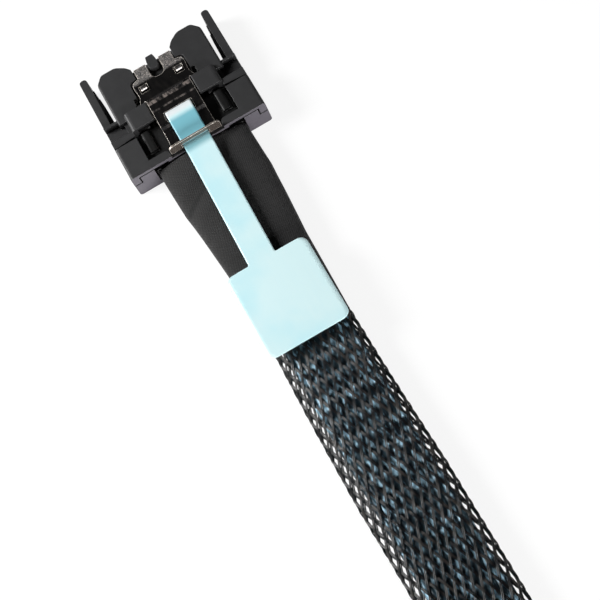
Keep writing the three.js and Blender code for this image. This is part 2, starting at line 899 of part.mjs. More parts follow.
// Cloth tape round the cable behind the second plug, in that plug's own place on the hank.
function farWrap() {
  const start = bodyRear - fitGap;
  const middleWidth = (farWrapWidth + cableWidth) / 2;
  return loft([
    levelSection(0, start, farWrapWidth, cableThickness),
    levelSection(0, start - farWrapLength / 2, middleWidth, cableThickness),
    levelSection(0, start - farWrapLength, cableWidth, cableThickness),
  ]);
}

// The cable between the cloth wrap and the hank, lying on the surface.
function cableRun() {
  const curve = new THREE.SplineCurve(runRoute.map(([x, y]) => new THREE.Vector2(x, y)));
  const points = curve.getPoints(runSteps);
  return loft(points.map(({ x, y }) => levelSection(x, y, cableWidth, cableThickness)));
}

// The middle of the hank's cable in y and z: run, fold, run, fold and the start of a third run.
function hankLine() {
  const first = cableFloor + cableThickness / 2;
  const second = first + runPitch;
  const third = second + runPitch;
  const quarter = Math.PI / 2;
  const halfRamp = rampLength / 2;
  const farTop = first + 2 * foldRadius;
  const nearTop = second + 2 * foldRadius;
  const line = new THREE.Path();
  line.moveTo(hankStart, first);
  line.lineTo(tieMiddle + tieWidth, first);
  line.lineTo(tieMiddle + tieWidth / 2 + fitGap, first);
  line.lineTo(tieMiddle - tieWidth / 2 - fitGap, first);
  line.lineTo(tieMiddle - tieWidth, first);
  line.lineTo(farFoldY, first);
  line.absarc(farFoldY, first + foldRadius, foldRadius, -quarter, quarter, true);
  line.bezierCurveTo(farFoldY + halfRamp, farTop, farFoldY + halfRamp, second, farFoldY + rampLength, second);
  line.lineTo(nearFoldY, second);
  line.absarc(nearFoldY, second + foldRadius, foldRadius, -quarter, quarter, false);
  line.bezierCurveTo(nearFoldY - halfRamp, nearTop, nearFoldY - halfRamp, third, nearFoldY - rampLength, third);
  line.lineTo(farPlugY - bodyRear + farWrapLength + 2 * fitGap, third);
  return line.getPoints(foldSteps).filter((p, i, all) => !i || p.distanceTo(all[i - 1]) > 1e-3);
}

// The hank is one length of cable. The tie presses the underside of its lowest run in.
function hank() {
  const points = hankLine();
  const lowest = cableFloor + cableThickness;
  return loft(points.map((point, i) => {
    const before = points[Math.max(i - 1, 0)];
    const after = points[Math.min(i + 1, points.length - 1)];
    const along = after.clone().sub(before).normalize();
    const tied = point.y < lowest && Math.abs(point.x - tieMiddle) < tieWidth * 0.75;
    const bite = tied ? tieBite : 0;
    return {
      middle: [hankX, point.x, point.y + bite / 2],
      width: cableWidth,
      height: cableThickness - bite,
      up: [along.y, -along.x],
    };
  }));
}

// The tie: a fabric strap round all three runs, its end overlapping on top.
function tie() {
  const half = cableWidth / 2 + fitGap;
  const low = cableFloor + tieBite - fitGap;
  const high = cableFloor + cableThickness + 2 * runPitch + fitGap;
  const ys = [tieMiddle - tieWidth / 2, tieMiddle + tieWidth / 2];
  const band = roundedRectangle(
    [hankX - half - tieThickness, hankX + half + tieThickness],
    [low - tieThickness, high + tieThickness],
    tieThickness,
  );
  const hole = box([hankX - half, hankX + half], [ys[0] - 1, ys[1] + 1], [low, high]);
  const flapEnd = hankX + half - tieThickness;
  const flap = box([flapEnd - tieFlapWidth, flapEnd], ys, [high + 0.5, high + 2 * tieThickness]);
  return carriedAlong(band, ...ys).subtract(hole).add(flap);
}

// The pieces that both plugs have.
function plugPieces(plug) {
  const group = new THREE.Group();
  const add = (piece, solid, material) => group.add(meshOf(`${plug.name}_${piece}`, solid, material));
  add("housing", housing(plug), blackPlastic);
  add("cover", cover(plug), blackPlastic);
  add("latch_spring", latch(plug), latchSteel);
  add("circuit_card", card(plug), boardGreen);
  add("cable_grip", grip(), gripBlack);
  add("upper_ribbon_end", ribbonEnd(1), ribbonBlue);
  add("lower_ribbon_end", ribbonEnd(-1), ribbonBlue);
  add("pull_tab", pullTab(plug), tabFilm);
  return group;
}

function wholeCable() {
  const root = new THREE.Group();
  root.add(plugPieces(nearPlug));
  root.add(meshOf("near_cloth_wrap", nearWrap(), clothBlack));
  root.add(meshOf("cable_run", cableRun(), sleeveBlack));
  root.add(meshOf("cable_hank", hank(), sleeveBlack));
  root.add(meshOf("hank_tie", tie(), tieBlack));
  const farEnd = plugPieces(farPlug);
  farEnd.add(meshOf("far_cloth_wrap", farWrap(), clothBlack));
  farEnd.position.set(hankX, farPlugY, farPlugBase);
  farEnd.rotation.z = Math.PI;
  root.add(farEnd);
  return root;
}

export default wholeCable();
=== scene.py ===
# %%
import math
import bpy
import numpy as np
from mathutils import Matrix, Vector


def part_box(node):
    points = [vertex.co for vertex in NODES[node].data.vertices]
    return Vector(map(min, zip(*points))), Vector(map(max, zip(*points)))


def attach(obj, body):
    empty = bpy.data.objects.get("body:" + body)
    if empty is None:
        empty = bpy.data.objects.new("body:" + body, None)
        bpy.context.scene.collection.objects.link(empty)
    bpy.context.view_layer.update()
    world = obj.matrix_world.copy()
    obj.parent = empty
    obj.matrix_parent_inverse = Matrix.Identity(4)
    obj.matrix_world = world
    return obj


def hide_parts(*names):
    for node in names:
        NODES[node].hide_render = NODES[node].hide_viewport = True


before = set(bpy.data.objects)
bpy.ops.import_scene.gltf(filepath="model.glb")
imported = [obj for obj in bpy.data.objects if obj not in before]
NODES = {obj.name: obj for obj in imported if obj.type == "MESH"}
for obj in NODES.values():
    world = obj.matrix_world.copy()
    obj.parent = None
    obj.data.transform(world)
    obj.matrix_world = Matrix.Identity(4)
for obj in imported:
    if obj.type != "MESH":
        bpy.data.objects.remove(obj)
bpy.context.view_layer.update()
MM = 0.001

# %% [markdown]
# ## The camera
# The photograph looks down the cable from above and behind it, a little turned. Three of the plug's
# edges with known lengths fix the distance, and the lines along the cable fix the tilt.

# %%
TILT = math.radians(25.5)
ROLL = 0.0051
TURN = (0.867, 0.498)
CAMERA_PLACE = Vector((1.83, -184.5, 286.27)) * MM
FOCAL_PIXELS = 1568
PICTURE_PIXELS = 600
SENSOR = 36

look = Vector((0, math.sin(TILT), -math.cos(TILT)))
above = Vector((0, math.cos(TILT), math.sin(TILT)))
across = Vector((1, 0, 0)) - ROLL * above
down = -ROLL * Vector((1, 0, 0)) - above
right = (TURN[0] * across + TURN[1] * down).normalized()
under = (-TURN[1] * across + TURN[0] * down).normalized()

camera_data = bpy.data.cameras.new("camera")
camera_data.sensor_width = SENSOR
camera_data.lens = SENSOR * FOCAL_PIXELS / PICTURE_PIXELS
camera_data.clip_start = 10 * MM
camera = bpy.data.objects.new("camera", camera_data)
axes = Matrix((right, -under, -look)).transposed().to_4x4()
camera.matrix_world = Matrix.Translation(CAMERA_PLACE) @ axes
bpy.context.scene.collection.objects.link(camera)
bpy.context.scene.camera = camera
print("camera at", tuple(round(v, 3) for v in camera.location))


# %% [markdown]
# ## Shader arithmetic
# Procedural materials are sums and products of patterns. A small class lets them be written as plain
# arithmetic: each operation adds one node. A second class holds a whole material, with the places,
# noises and edges that the patterns start from.

# %%
class Field:
    """A number that a shader works out at each point of a surface."""

    def __init__(self, tree, socket):
        self.tree = tree
        self.socket = socket

    def step(self, operation, *others):
        node = self.tree.nodes.new("ShaderNodeMath")
        node.operation = operation
        for entry, value in zip(node.inputs, (self, *others)):
            if isinstance(value, Field):
                self.tree.links.new(value.socket, entry)
            else:
                entry.default_value = value
        return Field(self.tree, node.outputs[0])

    def __add__(self, other):
        return self.step("ADD", other)

    def __sub__(self, other):
        return self.step("SUBTRACT", other)

    def __mul__(self, other):
        return self.step("MULTIPLY", other)

    __radd__ = __add__
    __rmul__ = __mul__

    def __rsub__(self, other):
        return (self * -1) + other

    def size(self):
        return self.step("ABSOLUTE")

    def at_least(self, other):
        return self.step("MAXIMUM", other)

    def at_most(self, other):
        return self.step("MINIMUM", other)

    def wave(self, period):
        """Rises and falls between 0 and 1 with this period."""
        return (self * (2 * math.pi / period)).step("SINE") * 0.5 + 0.5

    def between(self, low, high):
        """0 up to low, 1 from high on, and a soft rise from one to the other."""
        node = self.tree.nodes.new("ShaderNodeMapRange")
        node.interpolation_type = "SMOOTHSTEP"
        self.tree.links.new(self.socket, node.inputs["Value"])
        node.inputs["From Min"].default_value = low
        node.inputs["From Max"].default_value = high
        return Field(self.tree, node.outputs["Result"])

    def band(self, low, high, soft):
        """1 from low to high, 0 elsewhere."""
        return self.between(low - soft, low + soft) * (1 - self.between(high - soft, high + soft))


class Finish:
    """A material that starts from one Principled shader."""

    def __init__(self, name, color, roughness, metallic=0.0, **fixed):
        self.material = bpy.data.materials.new(name)
        self.material.use_nodes = True
        self.tree = self.material.node_tree
        self.shader = self.tree.nodes["Principled BSDF"]
        self.shader.inputs["Base Color"].default_value = (*color, 1)
        self.shader.inputs["Roughness"].default_value = roughness
        self.shader.inputs["Metallic"].default_value = metallic
        for key, value in fixed.items():
            self.shader.inputs[key.replace("_", " ")].default_value = value
        self.coordinates = self.tree.nodes.new("ShaderNodeTexCoord")

    def parts(self, socket):
        split = self.tree.nodes.new("ShaderNodeSeparateXYZ")
        self.tree.links.new(socket, split.inputs[0])
        return [Field(self.tree, out) for out in split.outputs]

    def place(self):
        """x, y and z on the object at rest, in millimetres."""
        return [part * 1000 for part in self.parts(self.coordinates.outputs["Object"])]

    def spread(self):
        """The surface's own u and v."""
        return self.parts(self.coordinates.outputs["UV"])[:2]

    def facing(self):
        """The three parts of the surface's own direction, each as its size without sign."""
        geometry = self.tree.nodes.new("ShaderNodeNewGeometry")
        return [part.size() for part in self.parts(geometry.outputs["Normal"])]

    def noise(self, grain, detail=2.0, stretch=(1, 1, 1)):
        """Random light and dark of a grain in millimetres, longer where stretch is over 1."""
        mapping = self.tree.nodes.new("ShaderNodeMapping")
        mapping.inputs["Scale"].default_value = [1 / s for s in stretch]
        self.tree.links.new(self.coordinates.outputs["Object"], mapping.inputs["Vector"])
        node = self.tree.nodes.new("ShaderNodeTexNoise")
        node.inputs["Scale"].default_value = 1000 / grain
        node.inputs["Detail"].default_value = detail
        self.tree.links.new(mapping.outputs["Vector"], node.inputs["Vector"])
        return Field(self.tree, node.outputs["Fac"])

    def rounded(self, radius):
        """The surface's direction with its edges rounded to a radius in millimetres."""
        bevel = self.tree.nodes.new("ShaderNodeBevel")
        bevel.samples = 6
        bevel.inputs["Radius"].default_value = radius * MM
        return bevel.outputs["Normal"]

    def edges(self, radius):
        """How much the surface turns within a radius in millimetres: 0 on flats, more on edges."""
        geometry = self.tree.nodes.new("ShaderNodeNewGeometry")
        dot = self.tree.nodes.new("ShaderNodeVectorMath")
        dot.operation = "DOT_PRODUCT"
        self.tree.links.new(self.rounded(radius), dot.inputs[0])
        self.tree.links.new(geometry.outputs["Normal"], dot.inputs[1])
        return 1 - Field(self.tree, dot.outputs["Value"])

    def color(self, base, *layers):
        """The base colour with layers (colour, field) over it."""
        current = None
        for tint, field in layers:
            node = self.tree.nodes.new("ShaderNodeMix")
            node.data_type = "RGBA"
            if current is None:
                node.inputs["A"].default_value = (*base, 1)
            else:
                self.tree.links.new(current, node.inputs["A"])
            node.inputs["B"].default_value = (*tint, 1)
            self.tree.links.new(field.socket, node.inputs["Factor"])
            current = node.outputs["Result"]
        self.tree.links.new(current, self.shader.inputs["Base Color"])

    def set(self, socket, field):
        self.tree.links.new(field.socket, self.shader.inputs[socket])

    def relief(self, height, depth, round_edges=None):
        """A bump of this depth in millimetres, over edges rounded to a radius."""
        bump = self.tree.nodes.new("ShaderNodeBump")
        bump.inputs["Distance"].default_value = depth * MM
        self.tree.links.new(height.socket, bump.inputs["Height"])
        if round_edges:
            self.tree.links.new(self.rounded(round_edges), bump.inputs["Normal"])
        self.tree.links.new(bump.outputs["Normal"], self.shader.inputs["Normal"])


print("two shader classes")


# %% [markdown]
# ## Light
# The product stands in a white studio: an even white surround, one large soft light from the upper
# left, and one from the front that brightens the plug's rear walls. The surround is dim overhead, so
# that flat steel mirrors something dark, and brighter near the horizon, where rounded edges catch it.
# Its strength is a + b (1 - z)^2 for a direction of height z. The camera itself sees plain white.

# %%
SURROUND_TOP = 0.012
SURROUND_SIDES = 0.16


def area_light(name, place, target, size, power):
    light = bpy.data.lights.new(name, "AREA")
    light.energy = power
    light.size = size
    lamp = bpy.data.objects.new(name, light)
    lamp.location = Vector(place) * MM
    aim = Vector(target) * MM - lamp.location
    lamp.rotation_euler = aim.to_track_quat("-Z", "Y").to_euler()
    bpy.context.scene.collection.objects.link(lamp)


area_light("left_light", (-330, 130, 260), (0, -40, 0), 0.2, 2.6)
area_light("front_light", (40, -480, 110), (0, -20, 3), 0.2, 2.4)

world = bpy.data.worlds.new("surround")
world.use_nodes = True
sky = world.node_tree
direction = sky.nodes.new("ShaderNodeTexCoord")
split = sky.nodes.new("ShaderNodeSeparateXYZ")
sky.links.new(direction.outputs["Generated"], split.inputs[0])
path = sky.nodes.new("ShaderNodeLightPath")
slope = (1 - Field(sky, split.outputs["Z"])).at_most(1.0)
strength = slope * slope * SURROUND_SIDES + SURROUND_TOP
strength = strength.at_least(Field(sky, path.outputs["Is Camera Ray"]))
sky.nodes["Background"].inputs["Color"].default_value = (1, 1, 1, 1)
sky.links.new(strength.socket, sky.nodes["Background"].inputs["Strength"])
bpy.context.scene.world = world
bpy.context.scene.view_settings.view_transform = "Standard"
print("lights:", len(bpy.data.lights))


# %% [markdown]
# ## Meshes from arrays
# The soft pieces are all tubes: rings of points that follow a line, joined by four-sided faces and
# closed by one face at each end. Laid out flat, a tube's skin has u round it and v along it, which
# lets a woven pattern run over all its sides.

# %%
def mesh_of(name, points, quads, ends=None):
    """A mesh from points in millimetres, four-sided faces and, if given, end faces."""
    mesh = bpy.data.meshes.new(name)
    corners = [quads.ravel()]
    counts = [np.full(len(quads), 4)]
    if ends is not None:
        corners.append(ends.ravel())
        counts.append(np.full(len(ends), ends.shape[1]))
    corners = np.concatenate(corners).astype(np.int32)
    counts = np.concatenate(counts)
    starts = np.concatenate([[0], np.cumsum(counts)[:-1]]).astype(np.int32)
    mesh.vertices.add(len(points))
    mesh.vertices.foreach_set("co", (np.asarray(points, float) * MM).astype(np.float32).ravel())
    mesh.loops.add(len(corners))
    mesh.loops.foreach_set("vertex_index", corners)
    mesh.polygons.add(len(counts))
    mesh.polygons.foreach_set("loop_start", starts)
    mesh.update(calc_edges=True)
    mesh.validate()
    mesh.shade_smooth()
    return mesh


def placed(name, mesh, material, body):
    """The mesh as an object of the scene that moves with a body."""
    thing = bpy.data.objects.new(name, mesh)
    bpy.context.scene.collection.objects.link(thing)
    mesh.materials.append(material)
    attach(thing, body)
    return thing


def tube_quads(rows, columns):
    """The faces between neighbouring rings of a tube, each ring with the same count of points."""
    start = np.arange(rows - 1)[:, None] * columns
    here = np.arange(columns)[None, :]
    there = (here + 1) % columns
    faces = [start + here, start + there, start + columns + there, start + columns + here]
    return np.stack(faces, axis=-1).reshape(-1, 4)


def tube_mesh(name, rings):
    """A closed tube from an array of rings: rows, points in a ring, and x, y, z."""
    rows, columns, _ = rings.shape
    ends = np.stack([np.arange(columns)[::-1], (rows - 1) * columns + np.arange(columns)])
    return mesh_of(name, rings.reshape(-1, 3), tube_quads(rows, columns), ends)


def spread_tube(mesh, rings):
    """Lays the tube's skin out flat: u runs round it and v along it, in millimetres."""
    rows, columns, _ = rings.shape
    middle = rings[rows // 2]
    gaps = np.linalg.norm(np.roll(middle, -1, axis=0) - middle, axis=1)
    steps = np.linalg.norm(np.diff(rings.mean(axis=1), axis=0), axis=1)
    u = np.concatenate([[0], np.cumsum(gaps)])
    v = np.concatenate([[0], np.cumsum(steps)])
    u_corners = np.stack([u[:-1], u[1:], u[1:], u[:-1]], -1)
    v_corners = np.stack([v[:-1], v[:-1], v[1:], v[1:]], -1)
    shape = (rows - 1, columns, 4)
    side_corners = math.prod(shape)
    corners = np.zeros((len(mesh.loops), 2), np.float32)
    corners[:side_corners, 0] = np.broadcast_to(u_corners[None], shape).ravel()
    corners[:side_corners, 1] = np.broadcast_to(v_corners[:, None], shape).ravel()
    mesh.uv_layers.new(name="spread").data.foreach_set("uv", corners.ravel())
    return mesh


print("mesh tools ready")

# %% [markdown]
# ## The floor
# White paper. It keeps the soft shadow that shows where the cable touches it. Only the camera sees
# the paper's own glow, which makes it white like the surround, and wholly so away from the cable.

# %%
FLOOR_HALF = 3000
PAPER_GLOW = 1.08
CABLE_MIDDLE_Y = -140

corner_signs = np.array([[-1, -1, 0], [1, -1, 0], [1, 1, 0], [-1, 1, 0]])
floor_mesh = mesh_of("studio_floor", corner_signs * FLOOR_HALF, np.array([[0, 1, 2, 3]]))
floor = bpy.data.objects.new("studio_floor", floor_mesh)
bpy.context.scene.collection.objects.link(floor)

paper = Finish("studio_paper", (0.9, 0.9, 0.9), 0.9)
paper.color((0.93, 0.93, 0.93), ((0.9, 0.9, 0.9), paper.noise(400)))
glow = paper.tree.nodes.new("ShaderNodeEmission")
glow.inputs["Strength"].default_value = PAPER_GLOW
ray = paper.tree.nodes.new("ShaderNodeLightPath")
mixed = paper.tree.nodes.new("ShaderNodeMixShader")
x, y, z = paper.place()
from_middle = y - CABLE_MIDDLE_Y
far_off = (x * x + from_middle * from_middle).between(6e4, 3e5)
share = Field(paper.tree, ray.outputs["Is Camera Ray"]) * (far_off * 0.2 + 0.8)
paper.tree.links.new(share.socket, mixed.inputs["Fac"])
paper.tree.links.new(paper.shader.outputs[0], mixed.inputs[1])
paper.tree.links.new(glow.outputs[0], mixed.inputs[2])
surface = paper.tree.nodes["Material Output"].inputs["Surface"]
paper.tree.links.new(mixed.outputs[0], surface)
floor_mesh.materials.append(paper.material)
print("floor", 2 * FLOOR_HALF, "mm wide")

# %% [markdown]
# ## Moulded black plastic
# The housing and its cover are injection moulded in a glass-filled plastic. The mould's fine spark
# texture makes it matt, and its corners, which rub, are a little lighter and smoother. The walls at
# the rear are painted a lighter purple-grey: painted light, where the front lamp falls on them. The
# cable grip is a softer black plastic, moulded over the ribbons, and its colour is made blacker still
# as painted shade for its deep recess. The solids have the shape already and only need this skin.
# Both plugs get the same materials, so patterns along a plug are measured from its own middle.

# %%
FAR_PLUG = np.array([1.6, -231.2, 13.1])
PLUGS_PART = -150
REAR_WALL = -7.55


def plug_y(y):
    """Along the plug it lies on, from its middle towards its nose: the same on both plugs."""
    first = y.between(PLUGS_PART - 0.5, PLUGS_PART + 0.5)
    return y * first + (float(FAR_PLUG[1]) - y) * (1 - first)


def dressed(piece, material):
    """Gives a piece of both plugs its material."""
    for end in ("near", "far"):
        thing = NODES[f"{end}_{piece}"]
        thing.data.materials.clear()
        thing.data.materials.append(material)


def moulded(name, color, worn, rear, roughness):
    skin = Finish(name, color, roughness)
    grain = skin.noise(0.16, 3)
    patches = skin.noise(3.0, 3)
    rubbed = (skin.edges(0.12) * 3.0).between(0.1, 0.9)
    lighter = tuple(c * 1.25 for c in color)
    along = plug_y(skin.place()[1])
    in_front = along.between(REAR_WALL - 0.05, REAR_WALL + 0.05)
    # Faces that look to the rear take the rear colour: painted light, lighter where the front lamp falls
    # on the rear walls.
    back = skin.facing()[1].between(0.7, 0.9) * (1 - in_front)
    skin.color(
        color,
        (lighter, patches.between(0.35, 0.7) * 0.6),
        (rear, back),
        (worn, rubbed * 0.5),
    )
    skin.set("Roughness", (grain - 0.5) * 0.25 + roughness - rubbed * 0.12)
    skin.relief(grain, 0.02, 0.12)
    return skin.material


GREY = (0.12, 0.12, 0.12)
PAINTED_REAR_LIGHT = (0.13, 0.12, 0.14)
housing_plastic = moulded("housing_plastic", (0.03, 0.03, 0.031), GREY, PAINTED_REAR_LIGHT, 0.46)
# The grip is black plastic, made blacker still as painted shade for its deep recess.
grip_plastic_painted_shade = moulded(
    "grip_plastic_painted_shade", (0.004, 0.004, 0.004), (0.03, 0.03, 0.03), (0.006, 0.006, 0.006), 0.45
)
dressed("housing", housing_plastic)
dressed("cover", housing_plastic)
dressed("cable_grip", grip_plastic_painted_shade)
print(housing_plastic.name, grip_plastic_painted_shade.name)

# %% [markdown]
# ## Latch
# Stainless spring sheet, stamped and bent. The plate is rolled smooth and mirrors the dark plug. The
# lands in front are scuffed by the socket. The bands along the bends are painted reflections in a
# pale brown, patterned by the rolling marks, and the rear lip has a painted brown reflection tone.
# Every sheared edge and side face is rough and is painted near white as a painted highlight, with
# less metal shine there.

# %%
steel = Finish("latch_steel", (0.42, 0.38, 0.34), 0.24, 1.0)
along = plug_y(steel.place()[1])
grain = steel.noise(0.2, 5)
scuffs = steel.noise(0.8, 3)
rolled = steel.noise(0.9, 3, (1, 3, 1))
# Sheared edges and side faces are rougher cut steel and also carry a painted highlight in near-white
# colour.
sheared_edge_highlight = (steel.edges(0.2) * 3.0).between(0.04, 0.4)
side_face_highlight = steel.facing()[0].between(0.5, 0.8)
front = along.between(12.3, 13.2)
flecks = grain.between(0.46, 0.68) * front * (scuffs.between(0.35, 0.6) * 0.7 + 0.3)
tool_marks = rolled.between(0.35, 0.65)
# The bands at the bends are painted reflections, patterned by the rolling marks.
bend_reflection = along.band(5.75, 6.75, 0.12) * tool_marks
second_band_reflection = along.band(3.7, 4.2, 0.1) * tool_marks
# The rear lip's brown tone is a painted reflection.
lip = 1 - along.between(-6.8, -6.6)
# pale gathers the painted highlights and reflections and the real scuff flecks; there the steel is less
# metallic and rougher.
pale = sheared_edge_highlight * 0.9 + side_face_highlight + flecks * 0.8 + bend_reflection * 0.6 + second_band_reflection * 0.4 + lip * 0.3
bright = pale.at_most(1.0)
steel.color(
    (0.2, 0.195, 0.2),
    ((0.32, 0.29, 0.27), tool_marks * 0.5),
    ((0.36, 0.3, 0.26), lip),
    ((0.5, 0.42, 0.38), bend_reflection + second_band_reflection * 0.7),
    ((0.9, 0.83, 0.76), flecks),
    ((1.0, 0.93, 0.84), sheared_edge_highlight),
    ((1.0, 0.93, 0.85), side_face_highlight),
)
steel.set("Metallic", 1 - bright * 0.7)
steel.set("Roughness", rolled * 0.1 + front * grain * 0.35 + bright * 0.15 + 0.16)
steel.relief(grain * front * 2.0 + rolled * 0.1, 0.05, 0.1)
dressed("latch_spring", steel.material)
print(steel.material.name, len(steel.tree.nodes), "nodes")

# %% [markdown]
# ## Circuit card and ribbon ends
# The card is black solder mask over glass-fibre board, with two rows of gilt contacts at 0.6 mm
# pitch on each face. The ribbon ends are blue-grey jackets, each core a low ridge. Waves of the
# right pitch draw both.

# %%
CONTACT_PITCH = 0.6
CORE_PITCH = 0.92

board = Finish("card_board", (0.006, 0.008, 0.007), 0.35)
x, y, z = board.place()
pads = x.wave(CONTACT_PITCH).between(0.45, 0.6) * plug_y(y).band(15.0, 17.9, 0.03)
fibres = board.noise(0.3, 2)
board.color((0.006, 0.008, 0.007), ((0.012, 0.016, 0.013), fibres), ((0.75, 0.5, 0.16), pads))
board.set("Metallic", pads)
board.set("Roughness", fibres * 0.1 - pads * 0.15 + 0.4)
board.relief(pads + fibres * 0.1, 0.03)
dressed("circuit_card", board.material)

jacket = Finish("ribbon_jacket", (0.03, 0.06, 0.08), 0.4)
cores = jacket.place()[0].wave(CORE_PITCH)
jacket.color((0.02, 0.04, 0.055), ((0.06, 0.1, 0.13), cores))
jacket.relief(cores, 0.15)
dressed("upper_ribbon_end", jacket.material)
dressed("lower_ribbon_end", jacket.material)
print(board.material.name, jacket.material.name)

# %% [markdown]
# ## The cable's line
# The flat cable leaves the first plug, lies on the surface, and its spare length is folded twice:
# three runs that rest on each other, with a round fold at each end. All pieces of the cable follow
# this one line, which is stored as points a fixed distance apart. Beside each point stand three
# directions: along the cable, to its side, and up out of its flat face.

# %%
CABLE_X = 1.6
FLOOR_GAP = 0.1
HALF_THICK = 3.1
PITCH = 6.5
FOLD = 8.0
RAMP = 26.0
NEAR_FOLD = -146.8
FAR_FOLD = -280.6
PLUG_REAR = -8.0
SLEEVE_START = -56.3
FAR_WRAP_START = -199.3
FAR_REAR = -223.4
STEP = 0.8
ROUTE_Y = [-300, -135.4, -120, -104, -88, -72, -56.6, -37, -22.5, -19.5, -8]
ROUTE_X = [1.6, 1.6, 1.5, 1.2, 0.9, 0.7, 0.8, 0.8, 0.65, 0.45, 0.1]


def eased(t):
    return t * t * (3 - 2 * t)


def fold_at(y, low, way):
    """Half a turn at the end of a run, from its level up to one fold's height above it, then a ramp
    down to the next level. Way is -1 where the cable turns at its far end and 1 at its near end."""
    turn = np.linspace(0, math.pi, 33)
    round_part = np.stack([y + way * FOLD * np.sin(turn), low + FOLD - FOLD * np.cos(turn)], 1)
    share = np.linspace(0, 1, 27)
    level = low + 2 * FOLD + (PITCH - 2 * FOLD) * eased(share)
    ramp = np.stack([y - way * RAMP * share, level], 1)
    return round_part, ramp[1:]


def cable_line():
    low = FLOOR_GAP + HALF_THICK
    first = np.array([[y, low] for y in np.linspace(PLUG_REAR, FAR_FOLD, 300)])
    far_round, far_ramp = fold_at(FAR_FOLD, low, -1)
    near_round, near_ramp = fold_at(NEAR_FOLD, low + PITCH, 1)
    last = np.array([[FAR_REAR, low + 2 * PITCH]])
    yz = np.concatenate([first, far_round[1:], far_ramp, near_round, near_ramp, last])
    length = np.concatenate([[0], np.cumsum(np.hypot(*np.diff(yz, axis=0).T))])
    s = np.linspace(0, length[-1], int(length[-1] / STEP) + 1)
    y, z = (np.interp(s, length, column) for column in yz.T)
    on_run = s < PLUG_REAR - NEAR_FOLD + 20
    x = np.where(on_run, np.interp(y, ROUTE_Y, ROUTE_X), CABLE_X)
    soft = np.convolve(np.pad(x, 6, mode="edge"), np.ones(13) / 13, mode="valid")
    return s, np.stack([soft, y, z], 1)


s, line = cable_line()
tangent = np.gradient(line, s, axis=0)
tangent /= np.linalg.norm(tangent, axis=1)[:, None]
side = np.array([1.0, 0, 0]) - tangent * tangent[:, :1]
side /= np.linalg.norm(side, axis=1)[:, None]
upward = np.cross(tangent, side)
upward /= np.linalg.norm(upward, axis=1)[:, None]
ROW_LENGTH = s[1] - s[0]
ROW_NUMBERS = np.arange(len(s))

# %% [markdown]
# The sleeve's width changes a little along the run in the photograph, and the tie squeezes the
# lowest run. Both are written as factors along the line.

# %%
TIE_MIDDLE = -182.0
TIE_HALF = 6.0
TIE_SOFT = 5.0
SLEEVE_Y = [-300, -150, -118, -104, -93.5, -73, -60, -56]
SLEEVE_WIDTH = [18.0, 18.0, 18.3, 18.4, 18.7, 17.9, 17.4, 17.2]

on_first_run = s < PLUG_REAR - FAR_FOLD
width = np.where(on_first_run, np.interp(line[:, 1], SLEEVE_Y, SLEEVE_WIDTH), 18.0)
from_tie = np.abs(line[:, 1] - TIE_MIDDLE) - TIE_HALF
squeeze = np.where(on_first_run, 1 - eased(np.clip(from_tie / TIE_SOFT, 0, 1)), 0)
line = line + upward * (squeeze * 0.72)[:, None]
thick = 1 - squeeze * 0.24


def row_at(y_on_first_run):
    return (PLUG_REAR - y_on_first_run) / ROW_LENGTH


def ring_points(along, across_mm, up_mm):
    """Points beside the line: at row numbers along, offset sideways and upwards."""
    place, sides, ups = (
        np.stack([np.interp(along, ROW_NUMBERS, column) for column in table.T], -1)
        for table in (line, side, upward)
    )
    return place + sides * across_mm[..., None] + ups * up_mm[..., None]


def rounded_section(half_width, half_height, power, count):
    """A flat oval: |x / half width|^power + |z / half height|^power is one all round it."""
    angle = np.arange(count) * (2 * math.pi / count)
    c, n = np.cos(angle), np.sin(angle)
    x = half_width * np.sign(c) * np.abs(c) ** (2 / power)
    z = half_height * np.sign(n) * np.abs(n) ** (2 / power)
    return x, z


print("sleeve", width.min(), "to", width.max(), "mm wide")

# %% [markdown]
# ## The ribbons inside
# Two flat ribbons of shielded pairs lie on each other inside the sleeve. Each pair shows as a low
# ridge. They are extruded jackets. Here the pack of them is one ridged tube, because only its
# outside can be seen between the strands. Its dark blue-grey carries bright blue specks that are
# painted glints.

# %%
RIBBON_HALF = 7.35
RIBBON_HALF_HEIGHT = 2.3
RIBBON_SHIFT = 0.3
PAIR_PITCH = 0.94
RIDGE = 0.14

ribbon_rows = np.arange(0, len(s), 2)
x, z = rounded_section(RIBBON_HALF, RIBBON_HALF_HEIGHT, 7, 120)
on_face = np.abs(z) > 1.2
z = z + np.sign(z) * RIDGE * np.cos(2 * math.pi * x / PAIR_PITCH) * on_face
across_mm = np.broadcast_to(x + RIBBON_SHIFT, (len(ribbon_rows), len(x)))
up_mm = z[None, :] * thick[ribbon_rows][:, None]
rings = ring_points(ribbon_rows[:, None] * np.ones(len(x)), across_mm, up_mm)

ribbon_skin = Finish("ribbon_bundle", (0.05, 0.09, 0.11), 0.32)
patches = ribbon_skin.noise(3.2, 3, (1, 2.2, 1))
glint_specks = ribbon_skin.noise(0.9, 2, (1, 2.5, 1))
# The bright blue specks are painted glints on the dark jackets.
ribbon_skin.color(
    (0.02, 0.04, 0.055),
    ((0.5, 0.8, 1.0), glint_specks.between(0.46, 0.64)),
    ((0.03, 0.06, 0.08), patches.between(0.54, 0.64) * 0.8),
)
ribbon_skin.set("Roughness", patches * 0.2 + 0.28)
ribbon_skin.relief(glint_specks, 0.15)
ribbon_mesh = tube_mesh("ribbon_bundle", rings)
bundle = placed("ribbon_bundle", ribbon_mesh, ribbon_skin.material, "cable_body")
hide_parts("cable_run", "cable_hank")
print(bundle.name, len(ribbon_mesh.polygons), "faces")

